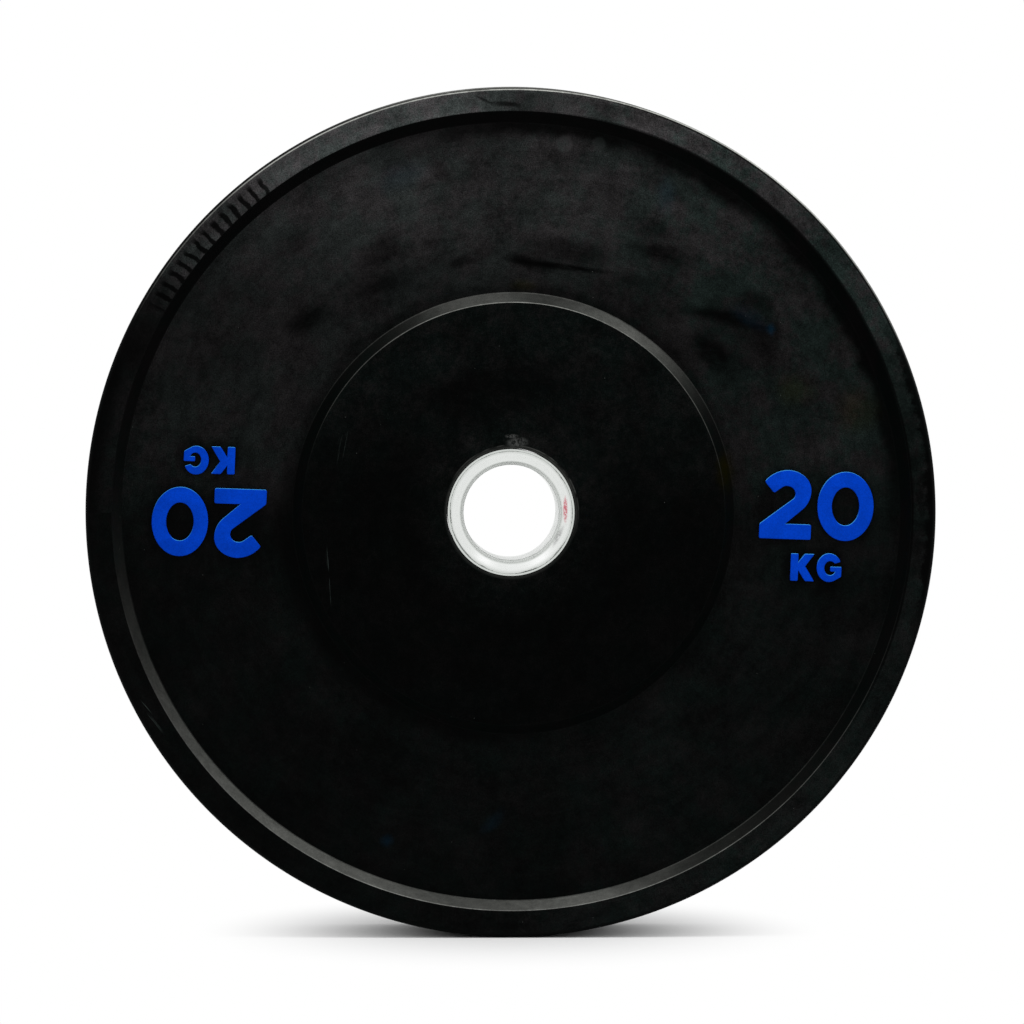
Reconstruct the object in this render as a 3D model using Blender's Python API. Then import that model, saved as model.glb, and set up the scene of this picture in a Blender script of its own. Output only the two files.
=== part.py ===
"""A solid-rubber weight plate for a 50 mm bar: one rubber moulding round a steel insert.

The bore lies along Y and the origin is at its middle, which is also the middle of the plate.
The front faces -Y, and the plate stands on its rim with +Z up. Lengths are in metres.
"""

import math

import bmesh
import bpy
from mathutils import Matrix, Vector

# Rubber disc, across the plate
PLATE_RADIUS = 0.225
RIM_WIDTH = 0.013
RIM_WALL_RUN = 0.0051
HUB_FACE_RADIUS = 0.1128
HUB_WALL_RUN = 0.0051
LIP_RUN = 0.0016

# Rubber disc, along the bore
HUB_THICKNESS = 0.080
RIM_THICKNESS = 0.080
WEB_THICKNESS = 0.060
STEEL_RECESS = 0.0015

# Rounds moulded into the rubber
TREAD_ROUND = 0.003
EDGE_ROUND = 0.0008
FOOT_FILLET = 0.001

# Steel bushes
BORE_RADIUS = 0.0252
BUSH_WALL = 0.003
MOUTH_CHAMFER = 0.0017
FLANGE_WIDTH = 0.0039
FLANGE_THICKNESS = 0.004
FLANGE_CROWN = 0.0009

# Tube that carries the bushes, and the plate welded round it that anchors it in the rubber
TUBE_LIP_WALL = 0.0012
ANCHOR_WIDTH = 0.036
ANCHOR_THICKNESS = 0.004
ANCHOR_HOLE_RADIUS = 0.009
ANCHOR_HOLE_COUNT = 8
WELD_LEG = 0.003

# Gap left between pieces that touch
FIT_GAP = 0.0003

# Facets
RUBBER_SEGMENTS = 96
STEEL_SEGMENTS = 48
HOLE_SEGMENTS = 16
ROUND_STEPS = 3
CROWN_STEPS = 6

# Radii that follow from the ones above, from the bore outwards
BUSH_RADIUS = BORE_RADIUS + BUSH_WALL
TUBE_BORE_RADIUS = BUSH_RADIUS + FIT_GAP
FLANGE_RADIUS = BUSH_RADIUS + FLANGE_WIDTH
FLANGE_SEAT_RADIUS = FLANGE_RADIUS + FIT_GAP
TUBE_RADIUS = FLANGE_SEAT_RADIUS + TUBE_LIP_WALL
RUBBER_BORE_RADIUS = TUBE_RADIUS + FIT_GAP
LIP_RADIUS = RUBBER_BORE_RADIUS + LIP_RUN
HUB_FOOT_RADIUS = HUB_FACE_RADIUS + HUB_WALL_RUN
RIM_FACE_RADIUS = PLATE_RADIUS - RIM_WIDTH
DISH_RADIUS = RIM_FACE_RADIUS - RIM_WALL_RUN

# Half lengths that follow, from the middle of the plate outwards
TUBE_HALF = HUB_THICKNESS / 2 - STEEL_RECESS
FLANGE_BACK = TUBE_HALF - FLANGE_THICKNESS

# Finishes
RUBBER_COLOUR = (0.012, 0.013, 0.012)
RUBBER_ROUGHNESS = 0.5
BRIGHT_STEEL_COLOUR = (0.78, 0.80, 0.78)
BRIGHT_STEEL_ROUGHNESS = 0.28
MILD_STEEL_COLOUR = (0.30, 0.30, 0.31)
MILD_STEEL_ROUGHNESS = 0.5

# Edges that turn more sharply than this are shaded as edges, in degrees
SHARP_EDGE = 25


def clear_scene():
    for obj in list(bpy.data.objects):
        bpy.data.objects.remove(obj, do_unlink=True)


def material(name, colour, roughness, metallic):
    made = bpy.data.materials.new(name)
    made.use_nodes = True
    shader = made.node_tree.nodes["Principled BSDF"]
    shader.inputs["Base Color"].default_value = (*colour, 1.0)
    shader.inputs["Roughness"].default_value = roughness
    shader.inputs["Metallic"].default_value = metallic
    return made


def arc(corner, before, after, radius, steps):
    """Points of the round at a corner, no longer than half of the shorter side beside it."""
    to_before = before - corner
    to_after = after - corner
    half_angle = to_before.angle(to_after) / 2
    longest = min(to_before.length, to_after.length) / 2
    setback = min(radius / math.tan(half_angle), longest)
    radius = setback * math.tan(half_angle)
    inward = (to_before.normalized() + to_after.normalized()).normalized()
    centre = corner + inward * (radius / math.sin(half_angle))
    start = corner + to_before.normalized() * setback - centre
    turn = start.angle_signed(corner + to_after.normalized() * setback - centre)
    return [centre + Matrix.Rotation(-turn * i / steps, 2) @ start for i in range(steps + 1)]


def rounded(corners):
    """A closed outline through corners (radius, y, round), with every round drawn as an arc."""
    points = [Vector(corner[:2]) for corner in corners]
    outline = []
    for i, (_, _, round_radius) in enumerate(corners):
        after = points[(i + 1) % len(points)]
        if round_radius > 0:
            outline += arc(points[i], points[i - 1], after, round_radius, ROUND_STEPS)
        else:
            outline.append(points[i])
    return outline


def both_faces(half):
    """The outline of a piece that is the same on both faces, from its half on the +Y side."""
    return half + [(radius, -y, *rest) for radius, y, *rest in reversed(half)]


def revolve(outline, segments):
    """The body swept by a closed outline of (radius, y) as it turns once round the bore axis."""
    shape = bmesh.new()
    ring = [shape.verts.new((0, y, radius)) for radius, y in outline]
    edges = [shape.edges.new((ring[i - 1], ring[i])) for i in range(len(ring))]
    bmesh.ops.spin(
        shape,
        geom=ring + edges,
        cent=(0, 0, 0),
        axis=(0, 1, 0),
        angle=math.tau,
        steps=segments,
        use_merge=True,
    )
    bmesh.ops.recalc_face_normals(shape, faces=shape.faces)
    return shape


def add_object(name, shape, finish):
    mesh = bpy.data.meshes.new(name)
    shape.to_mesh(mesh)
    shape.free()
    mesh.shade_smooth()
    mesh.set_sharp_from_angle(angle=math.radians(SHARP_EDGE))
    if finish:
        mesh.materials.append(finish)
    obj = bpy.data.objects.new(name, mesh)
    bpy.context.scene.collection.objects.link(obj)
    return obj


def add_cutter(name, shape):
    cutter = add_object(name, shape, None)
    cutter.hide_render = True
    cutter.display_type = "WIRE"
    return cutter


def cut(obj, cutter):
    modifier = obj.modifiers.new(cutter.name, "BOOLEAN")
    modifier.operation = "DIFFERENCE"
    modifier.solver = "EXACT"
    modifier.object = cutter


def anchor_disc(growth, inner_radius):
    """The anchor plate without its holes, with a weld fillet on both sides of its inner edge.

    The same shape, grown on all sides and reaching further in, is the pocket in the rubber.
    """
    half = ANCHOR_THICKNESS / 2 + growth
    weld_line = RUBBER_BORE_RADIUS + WELD_LEG + ANCHOR_THICKNESS / 2 + growth * math.sqrt(2)
    outer_radius = RUBBER_BORE_RADIUS + ANCHOR_WIDTH + growth
    corners = [
        (outer_radius, half),
        (weld_line - half, half),
        (inner_radius, weld_line - inner_radius),
    ]
    return revolve(both_faces(corners), STEEL_SEGMENTS)


def anchor_holes(name, growth):
    """Cutter for the holes that the rubber runs through, half way between weld and edge."""
    circle_radius = RUBBER_BORE_RADIUS + (WELD_LEG + ANCHOR_WIDTH) / 2
    shape = bmesh.new()
    for i in range(ANCHOR_HOLE_COUNT):
        bearing = Matrix.Rotation(math.tau * (i + 0.5) / ANCHOR_HOLE_COUNT, 4, "Y")
        place = bearing @ Matrix.Translation((0, 0, circle_radius)) @ Matrix.Rotation(math.pi / 2, 4, "X")
        bmesh.ops.create_cone(
            shape,
            cap_ends=True,
            segments=HOLE_SEGMENTS,
            radius1=ANCHOR_HOLE_RADIUS - growth,
            radius2=ANCHOR_HOLE_RADIUS - growth,
            depth=2 * ANCHOR_THICKNESS,
            matrix=place,
        )
    return add_cutter(name, shape)


def make_anchor_plate(finish):
    plate = add_object("anchor_plate", anchor_disc(0, RUBBER_BORE_RADIUS), finish)
    cut(plate, anchor_holes("anchor_hole_cutter", 0))
    return plate


def make_rubber_body(finish):
    """Rim, dish and hub on both faces, and a pocket that keys the rubber to the anchor plate."""
    half = [
        (PLATE_RADIUS, RIM_THICKNESS / 2, TREAD_ROUND),
        (RIM_FACE_RADIUS, RIM_THICKNESS / 2, EDGE_ROUND),
        (DISH_RADIUS, WEB_THICKNESS / 2, FOOT_FILLET),
        (HUB_FOOT_RADIUS, WEB_THICKNESS / 2, FOOT_FILLET),
        (HUB_FACE_RADIUS, HUB_THICKNESS / 2, EDGE_ROUND),
        (LIP_RADIUS, HUB_THICKNESS / 2, 0),
        (RUBBER_BORE_RADIUS, TUBE_HALF, 0),
    ]
    body = add_object("rubber_body", revolve(rounded(both_faces(half)), RUBBER_SEGMENTS), finish)
    pocket = add_cutter("anchor_pocket_cutter", anchor_disc(FIT_GAP, TUBE_RADIUS))
    cut(pocket, anchor_holes("anchor_post_cutter", FIT_GAP))
    cut(body, pocket)
    return body


def make_hub_tube(finish):
    """The tube under the bushes, with a thin lip round each flange and a shoulder behind it."""
    shoulder = FLANGE_BACK - FIT_GAP
    half = [
        (TUBE_RADIUS, TUBE_HALF),
        (FLANGE_SEAT_RADIUS, TUBE_HALF),
        (FLANGE_SEAT_RADIUS, shoulder),
        (TUBE_BORE_RADIUS, shoulder),
    ]
    return add_object("hub_tube", revolve(both_faces(half), STEEL_SEGMENTS), finish)


def make_front_bush(finish):
    """A flanged bush let in from the front, its mouth chamfered and its flange face crowned."""
    mouth_radius = BORE_RADIUS + MOUTH_CHAMFER
    face_width = FLANGE_RADIUS - mouth_radius
    crown = [
        (
            FLANGE_RADIUS - face_width * i / CROWN_STEPS,
            -TUBE_HALF - FLANGE_CROWN * math.sin(math.pi * i / CROWN_STEPS),
        )
        for i in range(CROWN_STEPS + 1)
    ]
    outline = crown + [
        (BORE_RADIUS, MOUTH_CHAMFER - TUBE_HALF),
        (BORE_RADIUS, -FIT_GAP / 2),
        (BUSH_RADIUS, -FIT_GAP / 2),
        (BUSH_RADIUS, -FLANGE_BACK),
        (FLANGE_RADIUS, -FLANGE_BACK),
    ]
    return add_object("front_bush", revolve(outline, STEEL_SEGMENTS), finish)


def make_back_bush(front_bush):
    bush = bpy.data.objects.new("back_bush", front_bush.data)
    bush.rotation_euler.z = math.pi
    bpy.context.scene.collection.objects.link(bush)
    return bush


def main():
    clear_scene()
    rubber = material("black_rubber", RUBBER_COLOUR, RUBBER_ROUGHNESS, metallic=0)
    bright_steel = material("bright_steel", BRIGHT_STEEL_COLOUR, BRIGHT_STEEL_ROUGHNESS, metallic=1)
    mild_steel = material("mild_steel", MILD_STEEL_COLOUR, MILD_STEEL_ROUGHNESS, metallic=1)

    front_bush = make_front_bush(bright_steel)
    pieces = [
        make_rubber_body(rubber),
        make_hub_tube(bright_steel),
        front_bush,
        make_back_bush(front_bush),
        make_anchor_plate(mild_steel),
    ]
    weight_plate = bpy.data.objects.new("weight_plate", None)
    bpy.context.scene.collection.objects.link(weight_plate)
    for piece in pieces:
        piece.parent = weight_plate


main()
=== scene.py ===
"""The looks of the weight plate: finer meshes of its pieces, blue figures, finishes, light and camera.

The bore lies along Y with the front face towards -Y, and the plate stands on its rim with +Z up.
Sizes are in millimetres unless a name or comment says otherwise.
"""

import math

import bmesh
import bpy
from mathutils import Matrix, Vector, noise


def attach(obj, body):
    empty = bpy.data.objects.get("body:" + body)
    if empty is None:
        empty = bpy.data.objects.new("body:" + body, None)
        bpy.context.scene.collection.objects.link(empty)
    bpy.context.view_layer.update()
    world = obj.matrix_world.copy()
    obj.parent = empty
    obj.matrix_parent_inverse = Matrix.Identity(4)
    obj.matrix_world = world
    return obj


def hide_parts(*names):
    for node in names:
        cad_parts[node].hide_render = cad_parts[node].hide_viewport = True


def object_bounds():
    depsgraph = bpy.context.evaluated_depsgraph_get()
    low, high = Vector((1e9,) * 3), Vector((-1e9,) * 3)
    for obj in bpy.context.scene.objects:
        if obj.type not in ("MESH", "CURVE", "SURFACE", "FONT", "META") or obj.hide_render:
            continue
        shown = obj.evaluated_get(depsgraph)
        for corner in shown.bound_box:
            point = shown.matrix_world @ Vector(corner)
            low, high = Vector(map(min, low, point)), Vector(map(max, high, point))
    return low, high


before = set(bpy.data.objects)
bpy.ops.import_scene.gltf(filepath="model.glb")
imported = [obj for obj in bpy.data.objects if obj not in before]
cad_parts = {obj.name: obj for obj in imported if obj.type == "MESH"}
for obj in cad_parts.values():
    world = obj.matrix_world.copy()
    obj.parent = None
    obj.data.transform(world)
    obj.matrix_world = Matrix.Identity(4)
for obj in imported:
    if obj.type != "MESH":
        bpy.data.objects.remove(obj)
cad_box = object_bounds()

root = "root"

# A millimetre in the frame's metres
MM = 0.001

# Rubber disc: the overall sizes come from the imported model's bounds, the others are those of the
# imported solids
PLATE_RADIUS = round(cad_box[1][0] / MM, 3)
HALF = round(cad_box[1][1] / MM, 3)
RIM_WIDTH = 13.0
WALL_RUN = 5.1
DISH_DEPTH = 10.0
HUB_FACE_RADIUS = 112.8
LIP_RUN = 1.6
STEEL_RECESS = 1.5
TREAD_ROUND = 3.0
EDGE_ROUND = 0.8
FOOT_FILLET = 1.0
LIP_ROUND = 0.25
MOULD_LINE_HEIGHT = 0.25
MOULD_LINE_FOOT = 0.9
MOULD_LINE_CREST = 0.3

# Steel bushes and the tube that carries them
BORE_RADIUS = 25.2
BUSH_WALL = 3.0
MOUTH_CHAMFER = 1.7
FLANGE_WIDTH = 3.9
FLANGE_THICKNESS = 4.0
CROWN = 0.5
TUBE_LIP_WALL = 1.2
STEEL_EDGE_ROUND = 0.2
CHAMFER_ROUND = 0.25

# Anchor plate, which the rubber's pocket is keyed to
ANCHOR_WIDTH = 36.0
ANCHOR_THICKNESS = 4.0
ANCHOR_HOLE_RADIUS = 9.0
ANCHOR_HOLE_COUNT = 8
WELD_LEG = 3.0

# Gap left between pieces that touch
FIT_GAP = 0.3

# Radii that follow, from the bore outwards
BUSH_RADIUS = BORE_RADIUS + BUSH_WALL
TUBE_BORE_RADIUS = BUSH_RADIUS + FIT_GAP
FLANGE_RADIUS = BUSH_RADIUS + FLANGE_WIDTH
FLANGE_SEAT_RADIUS = FLANGE_RADIUS + FIT_GAP
TUBE_RADIUS = FLANGE_SEAT_RADIUS + TUBE_LIP_WALL
RUBBER_BORE_RADIUS = TUBE_RADIUS + FIT_GAP
LIP_RADIUS = RUBBER_BORE_RADIUS + LIP_RUN
HUB_FOOT_RADIUS = HUB_FACE_RADIUS + WALL_RUN
RIM_FACE_RADIUS = PLATE_RADIUS - RIM_WIDTH
DISH_RADIUS = RIM_FACE_RADIUS - WALL_RUN
TREAD_RADIUS = PLATE_RADIUS - MOULD_LINE_HEIGHT

# Half lengths that follow, from the middle of the plate outwards
WEB_HALF = HALF - DISH_DEPTH
TUBE_HALF = HALF - STEEL_RECESS
FLANGE_BACK = TUBE_HALF - FLANGE_THICKNESS

# The moulding isn't quite true: how far each edge lies from its circle, then to the right and up
HUB_EDGE_OFF = (-1.0, 1.35, -0.7)
RIM_EDGE_OFF = (-0.9, 0.45, 0.65)
RIM_FOOT_OFF = (-0.6, 0.15, 0.1)

# Figures: degrees that the plate has rolled on its rim, and how far right and up each pair sits.
# They rise from the dish by their height, and their root is what lies in the rubber.
FIGURE_ROLL = -2.07
FIGURE_HEIGHT = 1.7
FIGURE_ROOT = 0.4
FIGURE_BEVEL = 0.3
FIGURE_SLIMMER = 0.1
FIGURE_SHIFT = ((0.7, -0.9), (1.5, -0.9))
NUMBER_CENTRE = 161.4
NUMBER_BASE = -8.2
UNIT_CENTRE = 162.0
UNIT_BASE = -30.15

# Segments round the meshes, and degrees from which their edges are shaded sharp
RUBBER_SEGMENTS = 360
STEEL_SEGMENTS = 240
POCKET_SEGMENTS = 96
POST_SEGMENTS = 32
CROWN_STEPS = 20
SHARP_RUBBER = 40
SHARP_STEEL = 32
SHARP_FIGURES = 45

# Degrees from one painted dark stripe of reflection on the rim to the next
STRIPE_PITCH = 1.75

# So large that the bore's direction makes no difference to a place on the plate's face
FLAT_SCALE = 1000.0


# Outlines and meshes


def rounded_corner(before, corner, after, radius, steps):
    """Points of the round at a corner, which takes less than half of the shorter side beside it."""
    to_before = before - corner
    to_after = after - corner
    half_angle = to_before.angle(to_after) / 2
    longest = min(to_before.length, to_after.length) * 0.49
    setback = min(radius / math.tan(half_angle), longest)
    radius = setback * math.tan(half_angle)
    inward = (to_before.normalized() + to_after.normalized()).normalized()
    centre = corner + inward * (radius / math.sin(half_angle))
    start = corner + to_before.normalized() * setback - centre
    turn = start.angle_signed(corner + to_after.normalized() * setback - centre)
    return [centre + Matrix.Rotation(-turn * i / steps, 2) @ start for i in range(steps + 1)]


def outline_of(corners, steps):
    """A closed outline through corners (radius, y, round), each round drawn as an arc."""
    points = [Vector(corner[:2]) for corner in corners]
    outline = []
    for i, (_, _, round_radius) in enumerate(corners):
        after = points[(i + 1) % len(points)]
        if round_radius > 0:
            outline += rounded_corner(points[i - 1], points[i], after, round_radius, steps)
        else:
            outline.append(points[i])
    return outline


def with_support(outline, setback=0.25, longest=6.0):
    """Adds points just inside the ends of sides over six setbacks, so that flat rings look flat."""
    result = []
    for i, point in enumerate(outline):
        after = outline[(i + 1) % len(outline)]
        side = after - point
        along = side.normalized()
        result.append(point)
        if side.length > 6 * setback:
            result.append(point + along * setback)
            inner = side.length - 2 * setback
            count = int(inner // longest)
            for k in range(1, count + 1):
                result.append(point + along * (setback + inner * k / (count + 1)))
            result.append(after - along * setback)
    return result


def both_faces(half):
    """The outline of a piece that is the same on both faces, from its half on the +Y side."""
    return half + [(radius, -y, *rest) for radius, y, *rest in reversed(half)]


def lathe(outline, segments, shift=None):
    """Turns a closed outline of (radius, y) round the bore's axis, shifting its points if asked."""
    shape = bmesh.new()
    rings = []
    for s in range(segments):
        bearing = math.tau * s / segments
        ring = []
        for radius, y in outline:
            r = (radius + (shift(radius, y, bearing) if shift else 0.0)) * MM
            ring.append(shape.verts.new((r * math.cos(bearing), y * MM, r * math.sin(bearing))))
        rings.append(ring)
    count = len(outline)
    for s in range(segments):
        a = rings[s]
        b = rings[(s + 1) % segments]
        for i in range(count):
            j = (i + 1) % count
            shape.faces.new((a[i], a[j], b[j], b[i]))
    bmesh.ops.recalc_face_normals(shape, faces=shape.faces)
    return shape


def add_piece(name, shape, finish, sharp=SHARP_STEEL):
    mesh = bpy.data.meshes.new(name)
    shape.to_mesh(mesh)
    shape.free()
    mesh.shade_smooth()
    mesh.set_sharp_from_angle(angle=math.radians(sharp))
    if finish:
        mesh.materials.append(finish)
    obj = bpy.data.objects.new(name, mesh)
    bpy.context.scene.collection.objects.link(obj)
    return obj


def evaluated_mesh(obj):
    """A mesh of the object as its modifiers or its curve settings shape it."""
    graph = bpy.context.evaluated_depsgraph_get()
    return bpy.data.meshes.new_from_object(obj.evaluated_get(graph))


def cut(obj, cutter):
    modifier = obj.modifiers.new(cutter.name, "BOOLEAN")
    modifier.operation = "DIFFERENCE"
    modifier.solver = "EXACT"
    modifier.object = cutter


# Node materials


class Graph:
    """Short calls for building a node material."""

    def __init__(self, name):
        self.material = bpy.data.materials.new(name)
        self.material.use_nodes = True
        self.tree = self.material.node_tree
        self.shader = self.tree.nodes["Principled BSDF"]
        coordinates = self.tree.nodes.new("ShaderNodeTexCoord")
        self.at = coordinates.outputs["Object"]
        self.normal = coordinates.outputs["Normal"]
        self.x, self.y, self.z = self.split(self.at)
        self.radius = self.length(self.x, self.z)

    def node(self, kind, inputs, **settings):
        made = self.tree.nodes.new(kind)
        for key, value in settings.items():
            setattr(made, key, value)
        for key, value in inputs.items():
            self.put(made.inputs[key], value)
        return made

    def put(self, socket, value):
        if isinstance(value, bpy.types.NodeSocket):
            self.tree.links.new(value, socket)
        else:
            socket.default_value = value

    def finish(self, **sockets):
        for key, value in sockets.items():
            self.put(self.shader.inputs[key.replace("_", " ")], value)
        return self.material

    def math(self, operation, a, b=0.0, c=0.0):
        return self.node("ShaderNodeMath", {0: a, 1: b, 2: c}, operation=operation).outputs[0]

    def add(self, first, *others):
        for other in others:
            first = self.math("ADD", first, other)
        return first

    def mul(self, first, *others):
        for other in others:
            first = self.math("MULTIPLY", first, other)
        return first

    def less(self, value, factor, amount=1.0):
        """The value, taken down by the amount where the factor is 1."""
        return self.mul(value, self.math("SUBTRACT", 1.0, self.mul(factor, amount)))

    def length(self, a, b):
        return self.math("SQRT", self.add(self.mul(a, a), self.mul(b, b)))

    def apart(self, a, b):
        return self.math("ABSOLUTE", self.math("SUBTRACT", a, b))

    def split(self, vector):
        return self.node("ShaderNodeSeparateXYZ", {0: vector}).outputs

    def vector(self, x, y, z):
        return self.node("ShaderNodeCombineXYZ", {0: x, 1: y, 2: z}).outputs[0]

    def vectors(self, operation, a, b):
        return self.node("ShaderNodeVectorMath", {0: a, 1: b}, operation=operation).outputs[0]

    def measure(self, operation, a, b=(0.0, 0.0, 0.0)):
        made = self.node("ShaderNodeVectorMath", {0: a, 1: b}, operation=operation)
        return made.outputs["Value"]

    def plus(self, a, b):
        return self.vectors("ADD", a, b)

    def tinted(self, colour, level):
        made = self.node("ShaderNodeVectorMath", {0: colour, "Scale": level}, operation="SCALE")
        return made.outputs[0]

    def noise(self, scale, detail, rough, at=None):
        place = self.at if at is None else at
        inputs = {"Vector": place, "Scale": scale, "Detail": detail, "Roughness": rough}
        return self.node("ShaderNodeTexNoise", inputs).outputs["Fac"]

    def ramp(self, value, low, high, to_low=0.0, to_high=1.0, kind="SMOOTHSTEP"):
        """A smooth rise from one level at low to another at high, which may be the smaller one."""
        inputs = {0: value, 1: low, 2: high, 3: to_low, 4: to_high}
        return self.node("ShaderNodeMapRange", inputs, interpolation_type=kind).outputs[0]

    def straight(self, value, low, high, to_low, to_high):
        """A ramp without the smooth ends."""
        return self.ramp(value, low, high, to_low, to_high, kind="LINEAR")

    def span(self, value, low, high, to_low=0.0, to_high=1.0):
        """A ramp between two lengths in millimetres."""
        return self.ramp(value, low * MM, high * MM, to_low, to_high)

    def mixed(self, factor, a, b):
        return self.node("ShaderNodeMix", {0: factor, 2: a, 3: b}).outputs[0]

    def mix(self, factor, a, b):
        """A mix of two colours, of which each is a socket or three numbers."""
        made = self.node("ShaderNodeMix", {0: factor}, data_type="RGBA")
        for key, value in ((6, a), (7, b)):
            self.put(made.inputs[key], (*value, 1.0) if isinstance(value, tuple) else value)
        return made.outputs[2]

    def bump(self, height, strength, distance):
        """The normal on a surface with this height, whose full swing is so many millimetres."""
        inputs = {"Height": height, "Strength": strength, "Distance": distance * MM}
        return self.node("ShaderNodeBump", inputs).outputs["Normal"]

    def turned(self, at, centre, size, turn):
        """The place on the plate's face measured from a centre, along and across a direction."""
        made = self.node("ShaderNodeMapping", {"Vector": at}, vector_type="TEXTURE")
        made.inputs["Location"].default_value = (centre[0], 0.0, centre[1])
        made.inputs["Rotation"].default_value = (0.0, -math.radians(turn), 0.0)
        made.inputs["Scale"].default_value = (size[0], FLAT_SCALE, size[1])
        return made.outputs[0]

    def ellipse(self, x, z, half_length, half_width, turn=0.0, soft=0.6, at=None):
        """1 at the middle of an ellipse on the plate's face and 0 outside it."""
        start = self.at if at is None else at
        place = self.turned(start, (x * MM, z * MM), (half_length * MM, half_width * MM), turn)
        return self.ramp(self.measure("LENGTH", place), 1.0, 1.0 - soft)

    def streaks(self, turn, along_scale, across_scale):
        """Noise drawn out along a direction on the plate's face."""
        place = self.turned(self.at, (0.0, 0.0), (1.0 / along_scale, 1.0 / across_scale), turn)
        return self.noise(1.0, 5.0, 0.65, at=place)

    def flat(self, vector):
        """The direction of a vector as seen along the bore."""
        seen = self.vectors("MULTIPLY", vector, (1.0, 0.0, 1.0))
        return self.vectors("NORMALIZE", seen, (0.0, 0.0, 0.0))

    def toward(self, direction, bearing):
        """How far a direction points to a bearing in degrees: 1 when it does, -1 when away."""
        a = math.radians(bearing)
        return self.measure("DOT_PRODUCT", direction, (math.cos(a), 0.0, math.sin(a)))

    def lobe(self, direction, bearing, power):
        """1 where a direction points to a bearing, falling off faster the higher the power."""
        return self.math("POWER", self.math("MAXIMUM", self.toward(direction, bearing), 0.0), power)


# Black rubber

# Tones are the share of the light that comes back. Bearings are degrees round the bore, from the
# right through the top, and noise scales are per metre.

# Marks on the front, each with how far right and up its middle lies from the bore. Then half its
# length and half its width, the degrees that it is turned, and how much of the bloom is wiped off.
WIPED_MARKS = (
    (27.0, 130.0, 36.0, 2.6, -7.0, 0.95),
    (5.0, 134.0, 10.0, 5.0, -4.0, 0.8),
    (14.0, 131.5, 16.0, 5.0, -8.0, 0.6),
    (28.0, 138.0, 34.0, 10.0, -8.0, 0.5),
    (79.0, 137.5, 24.0, 7.0, -16.0, 0.75),
    (77.0, 149.0, 20.0, 8.0, -10.0, 0.4),
    (66.0, 122.5, 17.0, 6.0, -10.0, 0.5),
    (117.0, 102.5, 40.0, 6.5, -12.0, 0.85),
    (129.0, 111.0, 15.0, 8.0, -25.0, 0.6),
    (107.0, 84.0, 20.0, 11.0, -48.0, 0.9),
    (136.0, 92.0, 11.0, 18.0, 0.0, 0.45),
    (121.0, 98.0, 30.0, 20.0, -20.0, 0.4),
    (-10.0, 63.0, 60.0, 20.0, 8.0, 0.6),
    (-55.0, 15.0, 32.0, 42.0, 0.0, 0.3),
    (-111.0, 144.0, 12.0, 9.0, 60.0, 0.4),
    (-69.0, 139.0, 19.0, 9.0, 45.0, 0.45),
    (-108.0, 101.0, 18.0, 9.0, 30.0, 0.75),
    (-66.0, 121.0, 24.0, 8.0, 24.0, 0.6),
    (-37.0, 180.0, 13.0, 6.0, -55.0, 0.45),
    (-27.0, 132.0, 12.0, 3.6, 12.0, 0.65),
    (-3.0, 215.5, 11.0, 1.9, -3.0, 1.0),
    (-14.0, 217.5, 8.0, 1.0, -25.0, 0.8),
)

# A mark with a half width over this has a torn outline, and one turned further has steep streaks
THIN_MARK = 3.0
STEEP_MARK = 20.0

# Painted shade round the figures, where their shadow falls on the dish: right, up, half width and half
# height, on both sides of the bore
FIGURE_SHADE = (
    (146.0, 3.0, 20.0, 23.0),
    (176.5, 3.0, 20.0, 24.0),
    (153.0, -28.8, 11.5, 12.0),
    (168.0, -29.4, 11.5, 12.0),
)

# Faint round prints near the top: right, radius and how much paler
PRINTS_UP = 195.0
PRINTS = ((28.4, 5.4, 0.018), (46.5, 4.4, 0.010))

# Blue smudges: right, up, half length, half width, turn and strength
SMUDGE_BLUE = (0.0, 0.011, 0.024)
BLUE_SMUDGES = (
    (138.0, 97.0, 4.0, 4.5, 0.0, 0.8),
    (127.0, 103.0, 16.0, 7.0, -30.0, 0.2),
    (82.0, 168.0, 7.0, 14.0, 0.0, 0.35),
    (-58.0, 178.0, 20.0, 10.0, 25.0, 0.25),
    (-10.0, -164.5, 12.0, 5.0, 45.0, 0.2),
    (-65.0, -174.0, 4.5, 5.0, 0.0, 0.4),
)

# Brownish patches: right, up, half width and half height. Their colour is added, so blue drops.
PATCH_BROWN = (0.0028, 0.0018, -0.0022)
BROWN_PATCHES = (
    (151.0, 65.0, 15.0, 14.0),
    (183.0, 54.0, 16.0, 16.0),
    (114.0, 22.0, 7.0, 14.0),
    (7.0, 120.0, 10.0, 5.0),
)

# Fine scratches: right, up, half width, half height and turn
SCRATCHES = (
    (-97.0, -24.0, 0.9, 8.0, 4.0),
    (-95.7, -40.0, 0.6, 10.0, 3.0),
    (-89.0, 34.0, 2.2, 13.0, -12.0),
    (-193.0, -103.0, 1.0, 7.0, 40.0),
    (-188.0, -111.0, 1.3, 8.0, 38.0),
)

# The scuff above the steel is two ellipses: right, up, half length, half width, turn and softness
SCUFF = ((3.2, 37.0, 7.0, 3.4, 4.0, 0.7), (0.2, 40.4, 4.4, 1.4, 0.0, 0.7))

# Pale tint of the painted highlights on walls and edges, and of the film on the lip's slope
HIGHLIGHT_AND_FILM_TINT = (1.0, 1.02, 0.95)
GREEN_GREY = (0.64, 1.0, 0.90)
PLAIN_GREY = (0.86, 1.0, 0.97)
VIOLET_GREY = (1.06, 1.0, 1.03)
HUB_GREEN = (0.52, 1.0, 0.88)
HUB_GREY = (0.98, 1.0, 0.98)
SPECK_GREY = (0.15, 0.16, 0.15)
SCRATCH_GREY = (0.10, 0.13, 0.12)
SCUFF_GREY = (0.085, 0.088, 0.085)


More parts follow.
